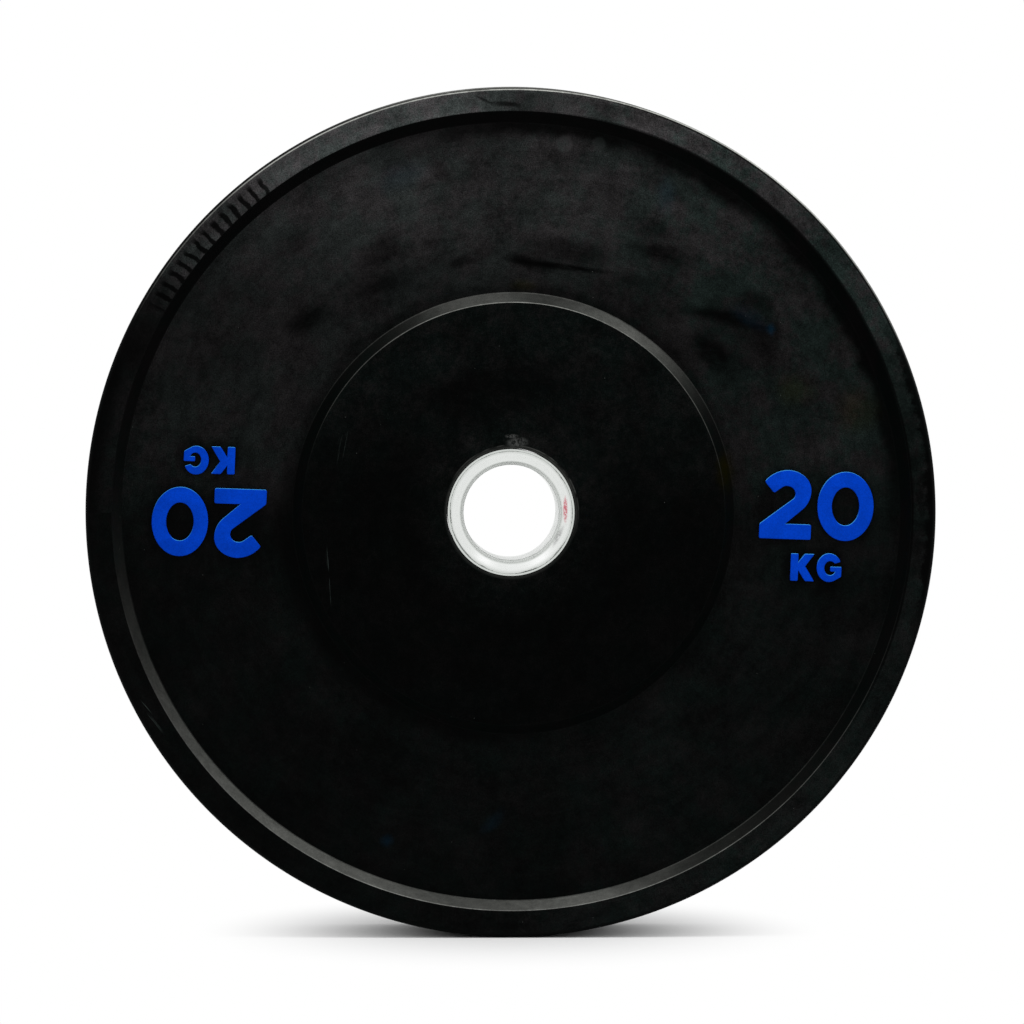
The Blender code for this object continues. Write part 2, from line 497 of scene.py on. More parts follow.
class Rubber(Graph):
    """What the parts of the rubber's finish share: tilts, directions, masks and textures."""

    def __init__(self, name):
        super().__init__(name)
        nx, _, nz = self.split(self.normal)
        self.tilt = self.length(nx, nz)
        self.place = self.flat(self.at)
        self.facing = self.flat(self.normal)
        self.bearing = self.mul(self.math("ARCTAN2", self.z, self.x), 180.0 / math.pi)
        self.hub = self.span(self.radius, HUB_FOOT_RADIUS, HUB_FACE_RADIUS)
        self.rim = self.span(self.radius, DISH_RADIUS, RIM_FACE_RADIUS)
        self.front = self.span(self.y, 0.0, -10.0)
        self.cloud = self.noise(17.0, 8.0, 0.95)
        self.grain = self.noise(1500.0, 2.0, 0.6)
        self.wipes = self.streaks(34.0, 14.0, 55.0)

    def turn_marks_behind(self):
        """From here on, what is drawn on the front lies half a turn further round on the back."""
        behind = self.math("GREATER_THAN", self.y, 0.0)
        side = self.math("MULTIPLY_ADD", behind, -2.0, 1.0)
        self.at = self.vectors("MULTIPLY", self.at, self.vector(side, 1.0, side))
        inputs = {"Vector": self.at, "Scale": 60.0, "Detail": 5.0, "Roughness": 0.65}
        rag = self.node("ShaderNodeTexNoise", inputs).outputs["Color"]
        rag = self.vectors("SUBTRACT", rag, (0.5, 0.5, 0.5))
        self.torn = self.plus(self.at, self.tinted(rag, 9.0 * MM))


def dish_bloom_light_and_shade(g):
    """The bloom on the dish with painted light and shade: palest at the top as painted light, gone low
    down as painted shade, thin beside both walls as painted shadow, and with a painted dark ring round
    the hub's foot.
    """
    # Painted light: paler towards the top and, low down, towards the right.
    bloom = g.add(
        0.0021,
        g.span(g.z, -20, 45, to_high=0.0056),
        g.span(g.z, 105, 175, to_high=0.0105),
        g.mul(g.span(g.x, -100, 150, to_high=0.0012), g.span(g.z, 60, -20)),
        g.mul(g.span(g.radius, 160, 130), g.span(g.z, 0, -60, to_high=0.0008)),
        g.mul(g.span(g.radius, 150, 180), g.lobe(g.place, 33, 14.0), 0.0038),
    )
    # Painted shadow of the hub low down on its left, and of the rim's wall at the upper right.
    hub_shadow = g.mul(g.span(g.radius, 128, 120), g.ramp(g.toward(g.place, 222), 0.45, 0.85))
    ragged = g.add(g.radius, g.ramp(g.noise(45.0, 3.0, 0.5), 0.3, 0.7, -2 * MM, 2 * MM))
    rim_shadow = g.mul(g.span(ragged, 197.5, 204.5), g.ramp(g.toward(g.place, 50), 0.45, 0.8))
    bloom = g.less(g.less(bloom, hub_shadow, 0.6), rim_shadow, 0.85)
    # Painted shade: a dark ring round the hub's foot in the upper half.
    foot_shade = g.add(
        g.span(g.radius, 123.5, 119.0, to_high=0.35),
        g.mul(g.span(g.radius, 147, 122), g.lobe(g.place, 48, 3.0), 0.15),
    )
    return g.less(bloom, g.mul(foot_shade, g.span(g.z, -20, 30)))


def hub_bloom_and_top_light(g):
    """The bloom on the hub, thin but for the top, which is painted light, and the ring close to the
    steel.
    """
    return g.add(
        0.0009,
        # Painted light: paler towards the top.
        g.span(g.z, -10, 90, to_high=0.0027),
        g.span(g.radius, 60, 40, to_high=0.0013),
    )


def rim_bloom_and_sheen(g):
    """The bloom on the rim under a painted sheen, pale from the top left to the right, with painted
    dark stripes of reflection at its left end.
    """
    # Painted sheen: a highlight on the rim from the top left to the right.
    bloom = g.add(
        0.0018,
        g.ramp(g.toward(g.place, 82), 0.15, 1.0, to_high=0.020),
        g.ramp(g.toward(g.place, 112), 0.78, 0.98, to_high=0.021),
        g.span(g.x, -120, 100, to_high=0.0042),
        g.mul(g.lobe(g.place, 68, 90.0), 0.010),
    )
    bloom = g.less(bloom, g.lobe(g.place, 88, 160.0), 0.5)
    bloom = g.mul(bloom, g.ramp(g.bearing, 153.0, 148.5, 0.5, 1.0))
    inner_left = g.mul(g.ramp(g.bearing, 156.0, 162.0), g.span(g.radius, 222, 213))
    bloom = g.add(bloom, g.mul(inner_left, 0.003))

    patchy = g.noise(110.0, 5.0, 0.8)
    ragged = g.add(g.radius, g.ramp(patchy, 0.35, 0.65, -1.6 * MM, 1.4 * MM))
    right_side = g.ramp(g.toward(g.place, 25), 0.4, 0.75)
    outermost = g.mul(g.span(ragged, 218.5, 221.2), g.ramp(g.toward(g.place, 5), 0.91, 0.965))
    # Darker at the rim's inner edge and outermost band on the right side.
    dark_edges = g.add(g.span(g.radius, 213.3, 212.4), outermost)
    bloom = g.less(bloom, g.mul(dark_edges, right_side), 0.8)
    bloom = g.less(bloom, g.mul(g.lobe(g.place, 2, 60.0), g.ramp(patchy, 0.40, 0.56)), 0.55)
    return g.less(bloom, rim_stripe_reflection(g), 0.92)


def rim_stripe_reflection(g):
    """Painted reflection: short dark stripes across the rim at the upper left of the front."""
    wavering = g.add(g.bearing, g.noise(160.0, 2.0, 0.5))
    stripe = g.math("COSINE", g.mul(wavering, math.tau / STRIPE_PITCH))
    stripe = g.ramp(g.add(stripe, g.mul(g.noise(450.0, 3.0, 0.6), 0.9)), 0.4, 1.15)
    return g.mul(
        stripe,
        g.ramp(g.bearing, 124.5, 127.5),
        g.ramp(g.bearing, 150.5, 149.5),
        g.span(g.radius, 222.5, 218.5),
        g.front,
    )


def mottled(g, tone):
    """The tone with cloudy patches and finer and finer ones inside them, arcs and straight wipes."""
    around = g.plus(g.place, g.vector(0.0, g.mul(g.radius, 26.0), 0.0))
    arcs = g.noise(5.0, 7.0, 0.75, at=around)
    hub_mottle = g.ramp(g.noise(110.0, 7.0, 1.0), 0.36, 0.64, 0.5, 1.5)
    return g.mul(
        tone,
        g.straight(g.cloud, 0.37, 0.63, 0.35, 1.65),
        g.straight(arcs, 0.36, 0.64, 0.76, 1.24),
        g.mixed(g.hub, 1.0, hub_mottle),
        g.straight(g.wipes, 0.34, 0.66, 0.85, 1.15),
        g.straight(g.grain, 0.2, 0.8, 0.1, 1.9),
    )


def wiped(g, tone):
    """The tone less what was wiped off in ragged marks, with painted shade round the figures and faint
    prints.
    """
    level = g.ramp(g.streaks(-10.0, 30.0, 170.0), 0.34, 0.54, 0.6, 1.0)
    steep = g.ramp(g.streaks(45.0, 30.0, 170.0), 0.34, 0.54, 0.6, 1.0)
    for right, up, half_length, half_width, turn, share in WIPED_MARKS:
        at = g.torn if half_width > THIN_MARK else g.at
        mark = g.ellipse(right, up, half_length, half_width, turn, 0.75, at)
        tone = g.less(tone, g.mul(mark, steep if turn > STEEP_MARK else level), share)
    # Painted shadow: darker rubber round the raised figures.
    for right, up, half_width, half_height in FIGURE_SHADE:
        for side in (1, -1):
            shade_patch = g.ellipse(side * right, side * up, half_width, half_height, soft=0.4)
            tone = g.less(tone, shade_patch, 0.5)
    for right, print_radius, paler in PRINTS:
        disc = g.ellipse(right, PRINTS_UP, print_radius, print_radius, soft=0.4)
        tone = g.add(tone, g.mul(disc, g.front, paler))
    return tone


def greyed(g, tone):
    """The tone as a grey that leans to green or violet from place to place, and dark on slopes."""
    neutral = g.ramp(g.toward(g.place, 118), 0.3, 0.9)
    green = g.mix(neutral, GREEN_GREY, PLAIN_GREY)
    tint = g.mix(g.ramp(g.noise(38.0, 5.0, 0.75), 0.42, 0.58), green, VIOLET_GREY)
    hub_tint = g.mix(g.ramp(g.noise(55.0, 8.0, 0.9), 0.42, 0.58), HUB_GREEN, HUB_GREY)
    low_down = g.span(g.z, 20, -50, to_high=0.5)
    tint = g.mix(g.mixed(g.hub, low_down, 0.9), tint, hub_tint)
    slope = g.ramp(g.tilt, 0.25, 0.55)
    return g.tinted(tint, g.add(g.less(tone, slope), g.mul(slope, 0.0026)))


def wall_highlight(g):
    """Painted highlight on the sloping walls, brightest where they face up to the light, and a painted
    highlight line along their edges.
    """
    # Painted light: lobes towards the bearings from which the light falls.
    on_hub = g.add(
        g.mul(g.lobe(g.facing, 57, 26.0), 0.063),
        g.mul(g.lobe(g.facing, 100, 35.0), 0.040),
        g.mul(g.lobe(g.facing, 85, 5.0), 0.013),
    )
    on_rim = g.add(
        g.mul(g.lobe(g.facing, 55, 7.0), 0.081),
        g.mul(g.lobe(g.facing, 100, 50.0), 0.068),
        g.mul(g.lobe(g.facing, 88, 5.0), 0.024),
    )
    walls = g.mul(
        g.ramp(g.tilt, 0.6, 0.85), g.ramp(g.tilt, 0.99, 0.94), g.span(g.radius, 60, 100)
    )
    wall_light = g.mul(
        g.mixed(g.span(g.radius, 130, 190), on_hub, on_rim),
        walls,
        g.ramp(g.cloud, 0.3, 0.7, 0.82, 1.18),
        g.ramp(g.grain, 0.2, 0.8, 0.8, 1.2),
        g.straight(g.noise(150.0, 5.0, 0.8), 0.35, 0.65, 0.8, 1.2),
    )
    edges = g.mul(
        g.ramp(g.tilt, 0.12, 0.35),
        g.ramp(g.tilt, 0.86, 0.6),
        g.span(g.radius, 60, 100),
        g.span(g.radius, 216, 214),
        g.span(g.math("ABSOLUTE", g.y), 32, 38, to_low=0.3),
    )
    # Painted highlight: thin pale lines along the edge rounds that face up.
    painted_highlight = g.mul(edges, g.lobe(g.facing, 85, 2.6), g.ramp(g.cloud, 0.35, 0.65, 0.5, 1.3))
    return g.add(wall_light, g.mul(painted_highlight, 0.22))


def edge_highlights_and_lip_film(g):
    """A thin painted highlight on the round between rim and tread and along the lip's edge beside the
    steel, and a pale grey film on the lip's slope.
    """
    shine_tilt = g.span(g.x, -20, 130, 0.47, 0.85)
    # Painted highlight along the tread's round, where it faces up.
    tread = g.mul(
        g.ramp(g.apart(g.tilt, shine_tilt), 0.16, 0.04),
        g.span(g.radius, 219, 221),
        g.ramp(g.toward(g.facing, 85), 0.35, 0.85),
        g.ramp(g.cloud, 0.4, 0.6, 0.6, 1.4),
    )
    lip_slope = g.mul(
        g.span(g.radius, 35.7, 34.0),
        g.ramp(g.toward(g.place, 85), -0.6, 0.9, 0.010, 0.036),
        g.ramp(g.cloud, 0.35, 0.65, 0.5, 1.5),
    )
    # Painted highlight along the lip's edge.
    lip_edge = g.mul(
        g.span(g.apart(g.radius, LIP_RADIUS * MM), 0.5, 0.1),
        g.ramp(g.toward(g.place, 70), -0.1, 0.6),
        g.ramp(g.wipes, 0.42, 0.58),
    )
    return g.add(g.mul(tread, 0.27), lip_slope, g.mul(lip_edge, 0.05))


def smudged(g, colour):
    """The colour with faint smudges of the figures' blue and brownish patches."""
    for right, up, half_length, half_width, turn, strength in BLUE_SMUDGES:
        patch = g.ellipse(right, up, half_length, half_width, turn, 0.9, g.torn)
        patch = g.mul(patch, g.ramp(g.cloud, 0.35, 0.6, to_low=0.4))
        colour = g.plus(colour, g.tinted(SMUDGE_BLUE, g.mul(patch, strength)))
    for right, up, half_width, half_height in BROWN_PATCHES:
        patch = g.ellipse(right, up, half_width, half_height, 0.0, 0.9, g.torn)
        patch = g.mul(patch, g.ramp(g.cloud, 0.35, 0.6, to_low=0.3))
        colour = g.plus(colour, g.tinted(PATCH_BROWN, patch))
    return colour


def scratched(g, colour):
    """The colour with pale specks, fine scratches and a scuff above the steel."""
    cells = g.node("ShaderNodeTexVoronoi", {"Vector": g.at, "Scale": 160.0})
    speck = g.math("LESS_THAN", cells.outputs["Distance"], 0.035)
    chosen = g.math("GREATER_THAN", g.split(cells.outputs["Color"])[0], 0.85)
    colour = g.mix(g.mul(speck, chosen, 0.3), colour, SPECK_GREY)
    for right, up, half_width, half_height, turn in SCRATCHES:
        lines = g.ramp(g.streaks(turn + 90.0, 30.0, 1400.0), 0.5, 0.66)
        mark = g.mul(g.ellipse(right, up, half_width, half_height, turn, 0.7), lines)
        colour = g.mix(g.mul(mark, 0.5), colour, SCRATCH_GREY)
    scraped = g.math("MAXIMUM", *(g.ellipse(*part) for part in SCUFF))
    scuff = g.mul(scraped, g.ramp(g.noise(300.0, 6.0, 0.8), 0.42, 0.56))
    return g.mix(g.mul(scuff, 0.75), colour, SCUFF_GREY)


def rubber_finish():
    g = Rubber("black_rubber_worn")
    tone = g.mixed(g.hub, dish_bloom_light_and_shade(g), hub_bloom_and_top_light(g))
    tone = g.mixed(g.rim, tone, rim_bloom_and_sheen(g))
    tone = mottled(g, tone)
    g.turn_marks_behind()
    colour = greyed(g, wiped(g, tone))
    # Adds the painted highlights on walls and edges, and the pale film on the lip's slope.
    colour = g.plus(colour, g.tinted(HIGHLIGHT_AND_FILM_TINT, g.add(wall_highlight(g), edge_highlights_and_lip_film(g))))
    colour = scratched(g, smudged(g, colour))
    rough = g.ramp(g.noise(60.0, 4.0, 0.6), 0.3, 0.7, 0.42, 0.54)
    surface = g.add(g.mul(g.grain, 0.5), g.mul(g.cloud, 1.5))
    return g.finish(
        Base_Color=colour,
        Roughness=g.add(rough, g.mul(g.rim, -0.08)),
        Specular_IOR_Level=0.015,
        Normal=g.bump(surface, 0.35, 0.2),
    )


# Steel

# Red and grey marks on the flange: right, up, half length, half width, turn and softness
RUBBED_MARK = (28.6, 1.6, 1.5, 8.5, 0.0, 0.6)
GREY_SMUDGE = (24.8, -12.5, 8.0, 1.7, 63.0, 0.8)

# Lines that the turning left, per metre across the steel
TURNING_SCALE = 5200.0

CHAMFER_PAINTED_PALE = (0.90, 0.92, 0.90)
HIGHLIGHT_WHITE = (0.98, 0.99, 0.98)
RUBBED_RED = (0.56, 0.08, 0.12)
SMUDGE_GREY = (0.20, 0.20, 0.20)


def steel_finish(name, colour, grime, rough_low, rough_high):
    """Turned steel: grime by the mouth and in the bore, painted highlight bands, a paler chamfer as
    painted reflection, and two marks on the front.
    """
    g = Graph(name)
    depth = g.math("ABSOLUTE", g.y)
    turning = g.vector(g.mul(g.radius, TURNING_SCALE), 0.0, g.mul(g.y, TURNING_SCALE))
    cloud = g.noise(70.0, 5.0, 0.65)
    pits = g.noise(900.0, 4.0, 0.65)
    front = g.span(g.y, 0.0, -10.0)
    place = g.flat(g.at)

    stain = g.mul(g.ramp(cloud, 0.54, 0.74), g.ramp(pits, 0.35, 0.65))
    # Painted reflection: the chamfer is painted paler so that it shows bright, though it mirrors the
    # darker bore.
    chamfer = g.mul(
        g.span(g.radius, BORE_RADIUS + 0.1, BORE_RADIUS + 0.3),
        g.span(g.radius, BORE_RADIUS + 1.9, BORE_RADIUS + 1.6),
    )
    mouth = g.mul(
        g.span(g.radius, BORE_RADIUS + 2.3, BORE_RADIUS + 1.9),
        g.span(g.radius, BORE_RADIUS + 0.8, BORE_RADIUS + 1.6),
        g.span(depth, TUBE_HALF - 2.2, TUBE_HALF - 1.6),
    )
    # A darker ring by the flange's edge.
    outer = g.mul(
        g.span(g.radius, FLANGE_RADIUS - 1.2, FLANGE_RADIUS - 0.4),
        g.span(depth, TUBE_HALF - 1.0, TUBE_HALF - 0.5),
    )
    inside = g.mul(
        g.span(g.radius, BORE_RADIUS + 0.2, BORE_RADIUS + 0.1), g.ramp(cloud, 0.35, 0.65, 0.15, 0.45)
    )
    shade = g.mix(g.mul(stain, 0.12), colour, grime)
    shade = g.mix(g.mul(chamfer, 0.8), shade, CHAMFER_PAINTED_PALE)
    for darkened, amount in ((mouth, 0.4), (outer, 0.3), (inside, 1.0)):
        shade = g.mix(g.mul(darkened, amount), shade, grime)

    # Painted highlight: pale bands across the flange towards the lower left, the bottom and the lower
    # right.
    highlight_lobes = g.add(
        g.lobe(place, 240, 50.0), g.lobe(place, 303, 30.0), g.mul(g.lobe(place, 272, 12.0), 0.35)
    )
    across_flange = g.mul(g.span(g.radius, 26.8, 28.2), g.span(g.radius, 31.3, 29.5))
    painted_highlight = g.mul(across_flange, g.math("MINIMUM", highlight_lobes, 1.0))
    shade = g.mix(painted_highlight, shade, HIGHLIGHT_WHITE)
    flecks = g.ramp(g.noise(900.0, 3.0, 0.7), 0.36, 0.52)
    rubbed = g.mul(g.ellipse(*RUBBED_MARK), flecks, front)
    shade = g.mix(g.mul(rubbed, 0.85), shade, RUBBED_RED)
    smudge = g.mul(g.ellipse(*GREY_SMUDGE), g.ramp(pits, 0.34, 0.52), front)
    shade = g.mix(g.mul(smudge, 0.6), shade, SMUDGE_GREY)

    height = g.add(g.noise(1.0, 2.0, 0.5, at=turning), g.mul(pits, 0.15))
    return g.finish(
        Base_Color=shade,
        Roughness=g.ramp(cloud, 0.3, 0.7, rough_low, rough_high),
        Metallic=1.0,
        Normal=g.bump(height, 0.05, 0.02),
    )


def mild_steel_finish():
    """Rolled steel with scale and some rust, on the plate buried in the rubber."""
    g = Graph("mild_steel_scale")
    cloud = g.noise(60.0, 5.0, 0.65)
    grain = g.noise(500.0, 4.0, 0.6)
    return g.finish(
        Base_Color=g.mix(g.ramp(cloud, 0.4, 0.65), (0.22, 0.22, 0.23), (0.16, 0.11, 0.08)),
        Roughness=g.ramp(grain, 0.3, 0.7, 0.45, 0.65),
        Metallic=1.0,
        Normal=g.bump(grain, 0.3, 0.1),
    )


# Blue rubber


def blue_finish():
    """Coloured rubber, uneven and grainy, with a painted highlight on the edges that face up."""
    g = Graph("blue_rubber_figures")
    cloud = g.noise(90.0, 5.0, 0.7)
    grain = g.noise(1500.0, 2.0, 0.6)
    nx, _, nz = g.split(g.normal)
    facing_up = g.ramp(g.toward(g.flat(g.normal), 105), 0.3, 0.9)
    # Painted highlight: paler blue along the edges that face up.
    edge = g.mul(g.ramp(g.length(nx, nz), 0.15, 0.5), facing_up)
    colour = g.mix(g.ramp(cloud, 0.3, 0.7), (0.0003, 0.045, 0.49), (0.0006, 0.055, 0.60))
    colour = g.tinted(colour, g.straight(grain, 0.2, 0.8, 0.8, 1.2))
    return g.finish(
        Base_Color=g.mix(g.mul(edge, 0.85), colour, (0.06, 0.38, 0.80)),
        Roughness=g.ramp(grain, 0.3, 0.7, 0.42, 0.55),
        Specular_IOR_Level=0.015,
        Normal=g.bump(grain, 0.2, 0.1),
    )


# Rubber disc

# Where the moulding is off true: the radii between which an edge's points lie, and how far off it is
EDGE_REACH = 4.0
WALL_MIDDLE = (DISH_RADIUS + RIM_FACE_RADIUS) / 2
EDGES_OFF = (
    (HUB_FACE_RADIUS - EDGE_REACH, HUB_FOOT_RADIUS + EDGE_REACH, HUB_EDGE_OFF),
    (DISH_RADIUS - EDGE_REACH, WALL_MIDDLE, RIM_FOOT_OFF),
    (WALL_MIDDLE, RIM_FACE_RADIUS + EDGE_REACH, RIM_EDGE_OFF),
)
MOULD_LINE_WAVER = 0.18


def moulding_off_true(radius, y, bearing):
    """Shifts the edges of hub and rim off their circles, and makes the mould line uneven."""
    around = Vector((math.cos(bearing), math.sin(bearing), 0.0))
    for inner, outer, (larger, right, up) in EDGES_OFF:
        if inner < radius < outer:
            return larger + right * around.x + up * around.y
    if radius > TREAD_RADIUS + MOULD_LINE_HEIGHT / 2:
        return min(0.0, MOULD_LINE_WAVER * noise.noise(around * 30.0))
    return 0.0


def anchor_pocket():
    """The anchor plate without its holes, grown by the fit gap and reaching in to the tube."""
    half = ANCHOR_THICKNESS / 2 + FIT_GAP
    weld_line = RUBBER_BORE_RADIUS + WELD_LEG + ANCHOR_THICKNESS / 2 + FIT_GAP * math.sqrt(2)
    corners = [
        (RUBBER_BORE_RADIUS + ANCHOR_WIDTH + FIT_GAP, half),
        (weld_line - half, half),
        (TUBE_RADIUS, weld_line - TUBE_RADIUS),
    ]
    return lathe([Vector(corner) for corner in both_faces(corners)], POCKET_SEGMENTS)


def anchor_posts():
    """The rubber that runs through the anchor plate's holes, half way between weld and edge."""
    circle_radius = RUBBER_BORE_RADIUS + (WELD_LEG + ANCHOR_WIDTH) / 2
    post_radius = (ANCHOR_HOLE_RADIUS - FIT_GAP) * MM
    along_bore = Matrix.Rotation(math.pi / 2, 4, "X")
    shape = bmesh.new()
    for i in range(ANCHOR_HOLE_COUNT):
        bearing = Matrix.Rotation(math.tau * (i + 0.5) / ANCHOR_HOLE_COUNT, 4, "Y")
        bmesh.ops.create_cone(
            shape,
            cap_ends=True,
            segments=POST_SEGMENTS,
            radius1=post_radius,
            radius2=post_radius,
            depth=2 * ANCHOR_THICKNESS * MM,
            matrix=bearing @ Matrix.Translation((0, 0, circle_radius * MM)) @ along_bore,
        )
    return shape


def make_rubber(finish):
    """The moulding, with a mould line on the tread and a pocket that keys it to the anchor plate."""
    half = [
        (PLATE_RADIUS, MOULD_LINE_CREST, 0.0),
        (TREAD_RADIUS, MOULD_LINE_FOOT, 0.0),
        (TREAD_RADIUS, HALF, TREAD_ROUND),
        (RIM_FACE_RADIUS, HALF, EDGE_ROUND),
        (DISH_RADIUS, WEB_HALF, FOOT_FILLET),
        (HUB_FOOT_RADIUS, WEB_HALF, FOOT_FILLET),
        (HUB_FACE_RADIUS, HALF, EDGE_ROUND),
        (LIP_RADIUS, HALF, LIP_ROUND),
        (RUBBER_BORE_RADIUS, TUBE_HALF, 0.0),
    ]
    outline = with_support(outline_of(both_faces(half), 8))
    shape = lathe(outline, RUBBER_SEGMENTS, moulding_off_true)
    body = add_piece("rubber_moulding", shape, finish, SHARP_RUBBER)
    pocket = add_piece("anchor_pocket", anchor_pocket(), None)
    posts = add_piece("anchor_posts", anchor_posts(), None)
    cut(pocket, posts)
    cut(body, pocket)
    body.data = evaluated_mesh(body)
    body.modifiers.clear()
    for cutter in (pocket, posts):
        bpy.data.objects.remove(cutter, do_unlink=True)
    return body


# Steel insert

# How much the flange's edge grows and shrinks along the groove round it
FLANGE_GROWTH = 0.12
FLANGE_GROWTH_LEAST = -0.1
FLANGE_GROWTH_MOST = 0.27


def make_tube(finish):
    shoulder = FLANGE_BACK - FIT_GAP
    half = [
        (TUBE_RADIUS, TUBE_HALF, STEEL_EDGE_ROUND),
        (FLANGE_SEAT_RADIUS, TUBE_HALF, STEEL_EDGE_ROUND),
        (FLANGE_SEAT_RADIUS, shoulder, 0.0),
        (TUBE_BORE_RADIUS, shoulder, 0.0),
    ]
    outline = with_support(outline_of(both_faces(half), 3))
    return add_piece("insert_tube", lathe(outline, STEEL_SEGMENTS), finish)


def make_bush(name, finish, face):
    """A flanged bush with a crowned face and a chamfered mouth, let in from one face."""
    mouth_radius = BORE_RADIUS + MOUTH_CHAMFER
    crown = []
    for i in range(CROWN_STEPS):
        share = i / CROWN_STEPS
        rise = CROWN * (1 - abs(2 * share - 1) ** 4)
        radius = FLANGE_RADIUS - (FLANGE_RADIUS - mouth_radius) * share
        crown.append(Vector((radius, -TUBE_HALF - rise)))
    wall = [
        (mouth_radius, -TUBE_HALF, 0.0),
        (BORE_RADIUS, -TUBE_HALF + MOUTH_CHAMFER, CHAMFER_ROUND),
        (BORE_RADIUS, -FIT_GAP / 2, STEEL_EDGE_ROUND),
        (BUSH_RADIUS, -FIT_GAP / 2, 0.0),
        (BUSH_RADIUS, -FLANGE_BACK, 0.0),
        (FLANGE_RADIUS, -FLANGE_BACK, 0.0),
    ]

    def uneven_edge(radius, y, bearing):
        if radius <= FLANGE_RADIUS - 0.05 or abs(y) <= FLANGE_BACK + 0.5:
            return 0.0
        around = Vector((math.cos(bearing), math.sin(bearing), face))
        waver = 0.5 * noise.noise(around * 2.5) + 0.25 * noise.noise(around * 30.0)
        return max(FLANGE_GROWTH_LEAST, min(FLANGE_GROWTH_MOST, FLANGE_GROWTH + waver))

    shape = lathe(with_support(crown + outline_of(wall, 7), 0.2), STEEL_SEGMENTS, uneven_edge)
    if face > 0:
        to_back = Matrix.Rotation(math.pi, 3, "Z")
        bmesh.ops.rotate(shape, cent=(0, 0, 0), matrix=to_back, verts=shape.verts)
    return add_piece(name, shape, finish)


# Figures


def arc(cx, cy, rx, ry, start, end, count):
    """Corners (u, v, round) on an ellipse from one bearing to another, in degrees."""
    points = []
    for i in range(count + 1):
        a = math.radians(start + (end - start) * i / count)
        points.append((cx + rx * math.cos(a), cy + ry * math.sin(a), 0.0))
    return points


def softened(corners, steps=6):
    """A closed outline through (u, v, round), rounded at corners between straight or curved sides."""
    points = [Vector(corner[:2]) for corner in corners]
    count = len(points)
    start = [0.0]
    for i in range(count):
        start.append(start[-1] + (points[(i + 1) % count] - points[i]).length)
    total = start.pop()

    def at(distance):
        distance %= total
        i = max(k for k in range(count) if start[k] <= distance)
        side = points[(i + 1) % count] - points[i]
        return points[i] + side.normalized() * (distance - start[i])

    def clear_of(distance, other, reach):
        apart = abs(distance - other)
        return min(apart, total - apart) > reach

    rounds = [(start[i], corner[2]) for i, corner in enumerate(corners) if corner[2] > 0]
    outline = []
    for i, point in enumerate(points):
        reach = corners[i][2]
        if reach > 0:
            before = at(start[i] - reach)
            after = at(start[i] + reach)
            for k in range(steps + 1):
                t = k / steps
                outline.append(before * (1 - t) ** 2 + point * 2 * t * (1 - t) + after * t**2)
        elif all(clear_of(start[i], other, other_reach) for other, other_reach in rounds):
            outline.append(point)
    return outline


def contours_of_two():
    crest = arc(15.1, 20.55, 16.25, 16.25, 143, 94, 10)
    crest[0] = (2.1, 30.3, 1.1)
    shoulder = arc(14.6, 26.0, 12.6, 10.8, 88, 2, 14) + arc(14.6, 26.0, 12.6, 13.2, 0, -50, 10)
    base = [(14.1, 8.3, 0.0), (27.7, 8.3, 1.3), (27.7, 0.0, 1.3), (0.0, 0.0, 1.3), (0.0, 7.9, 1.0)]
    inner = arc(14.2, 24.2, 4.4, 4.0, -40, 135, 18)
    return [crest + shoulder + base + inner + [(7.4, 24.2, 1.1)]]


def contours_of_zero():
    outer = arc(15.1, 18.5, 15.0, 18.45, 0, 354, 59)
    inner = arc(15.1, 18.5, 7.2, 10.0, 0, 354, 59)
    return [outer, inner]


def contours_of_k():
    stem_foot = [(0.0, 0.0, 0.8), (4.2, 0.0, 0.8), (4.3, 5.4, 0.0)]
    legs = [(7.9, 0.0, 0.8), (13.0, 0.0, 0.8), (8.0, 8.0, 0.0)]
    arms = [(12.8, 14.7, 0.8), (7.4, 14.7, 0.8), (4.2, 10.3, 0.0)]
    stem_top = [(4.2, 14.7, 0.8), (0.0, 14.7, 0.8)]
    return [stem_foot + legs + arms + stem_top]


def contours_of_g():
    outer = arc(6.7, 7.7, 6.7, 7.7, 24, 302, 40)
    inner = arc(7.2, 7.45, 3.0, 3.65, 318, 40, 28)
    outer[0] = (*outer[0][:2], 0.8)
    inner[-1] = (*inner[-1][:2], 0.8)
    bar = [(13.3, 2.9, 0.9), (13.4, 8.4, 0.7), (7.2, 8.4, 0.7), (7.2, 5.6, 0.7), (9.8, 5.6, 0.0)]
    return [outer + bar + inner]


# Each sign with the place of its lower left corner, to the right of the bore's axis and up
SIGNS = (
    (contours_of_two, NUMBER_CENTRE - 30.4, NUMBER_BASE),
    (contours_of_zero, NUMBER_CENTRE, NUMBER_BASE),
    (contours_of_k, UNIT_CENTRE - 13.6, UNIT_BASE),
    (contours_of_g, UNIT_CENTRE + 0.3, UNIT_BASE),
)


def sign_mesh(name, contours, left, base):
    """A sign as a flat bevelled solid, lying in XY and centred on it."""
    curve = bpy.data.curves.new(name, "CURVE")
    curve.dimensions = "2D"
    curve.fill_mode = "BOTH"
    curve.extrude = ((FIGURE_HEIGHT + FIGURE_ROOT) / 2 - FIGURE_BEVEL) * MM
    curve.bevel_depth = FIGURE_BEVEL * MM
    curve.bevel_resolution = 3
    curve.offset = -(FIGURE_BEVEL + FIGURE_SLIMMER) * MM
    for contour in contours:
        points = softened(contour)
        spline = curve.splines.new("POLY")
        spline.points.add(len(points) - 1)
        for point, (u, v) in zip(spline.points, points):
            point.co = ((left + u) * MM, (base + v) * MM, 0, 1)
        spline.use_cyclic_u = True
    drawn = bpy.data.objects.new(name, curve)
    bpy.context.scene.collection.objects.link(drawn)
    mesh = evaluated_mesh(drawn)
    bpy.data.objects.remove(drawn, do_unlink=True)
    return mesh


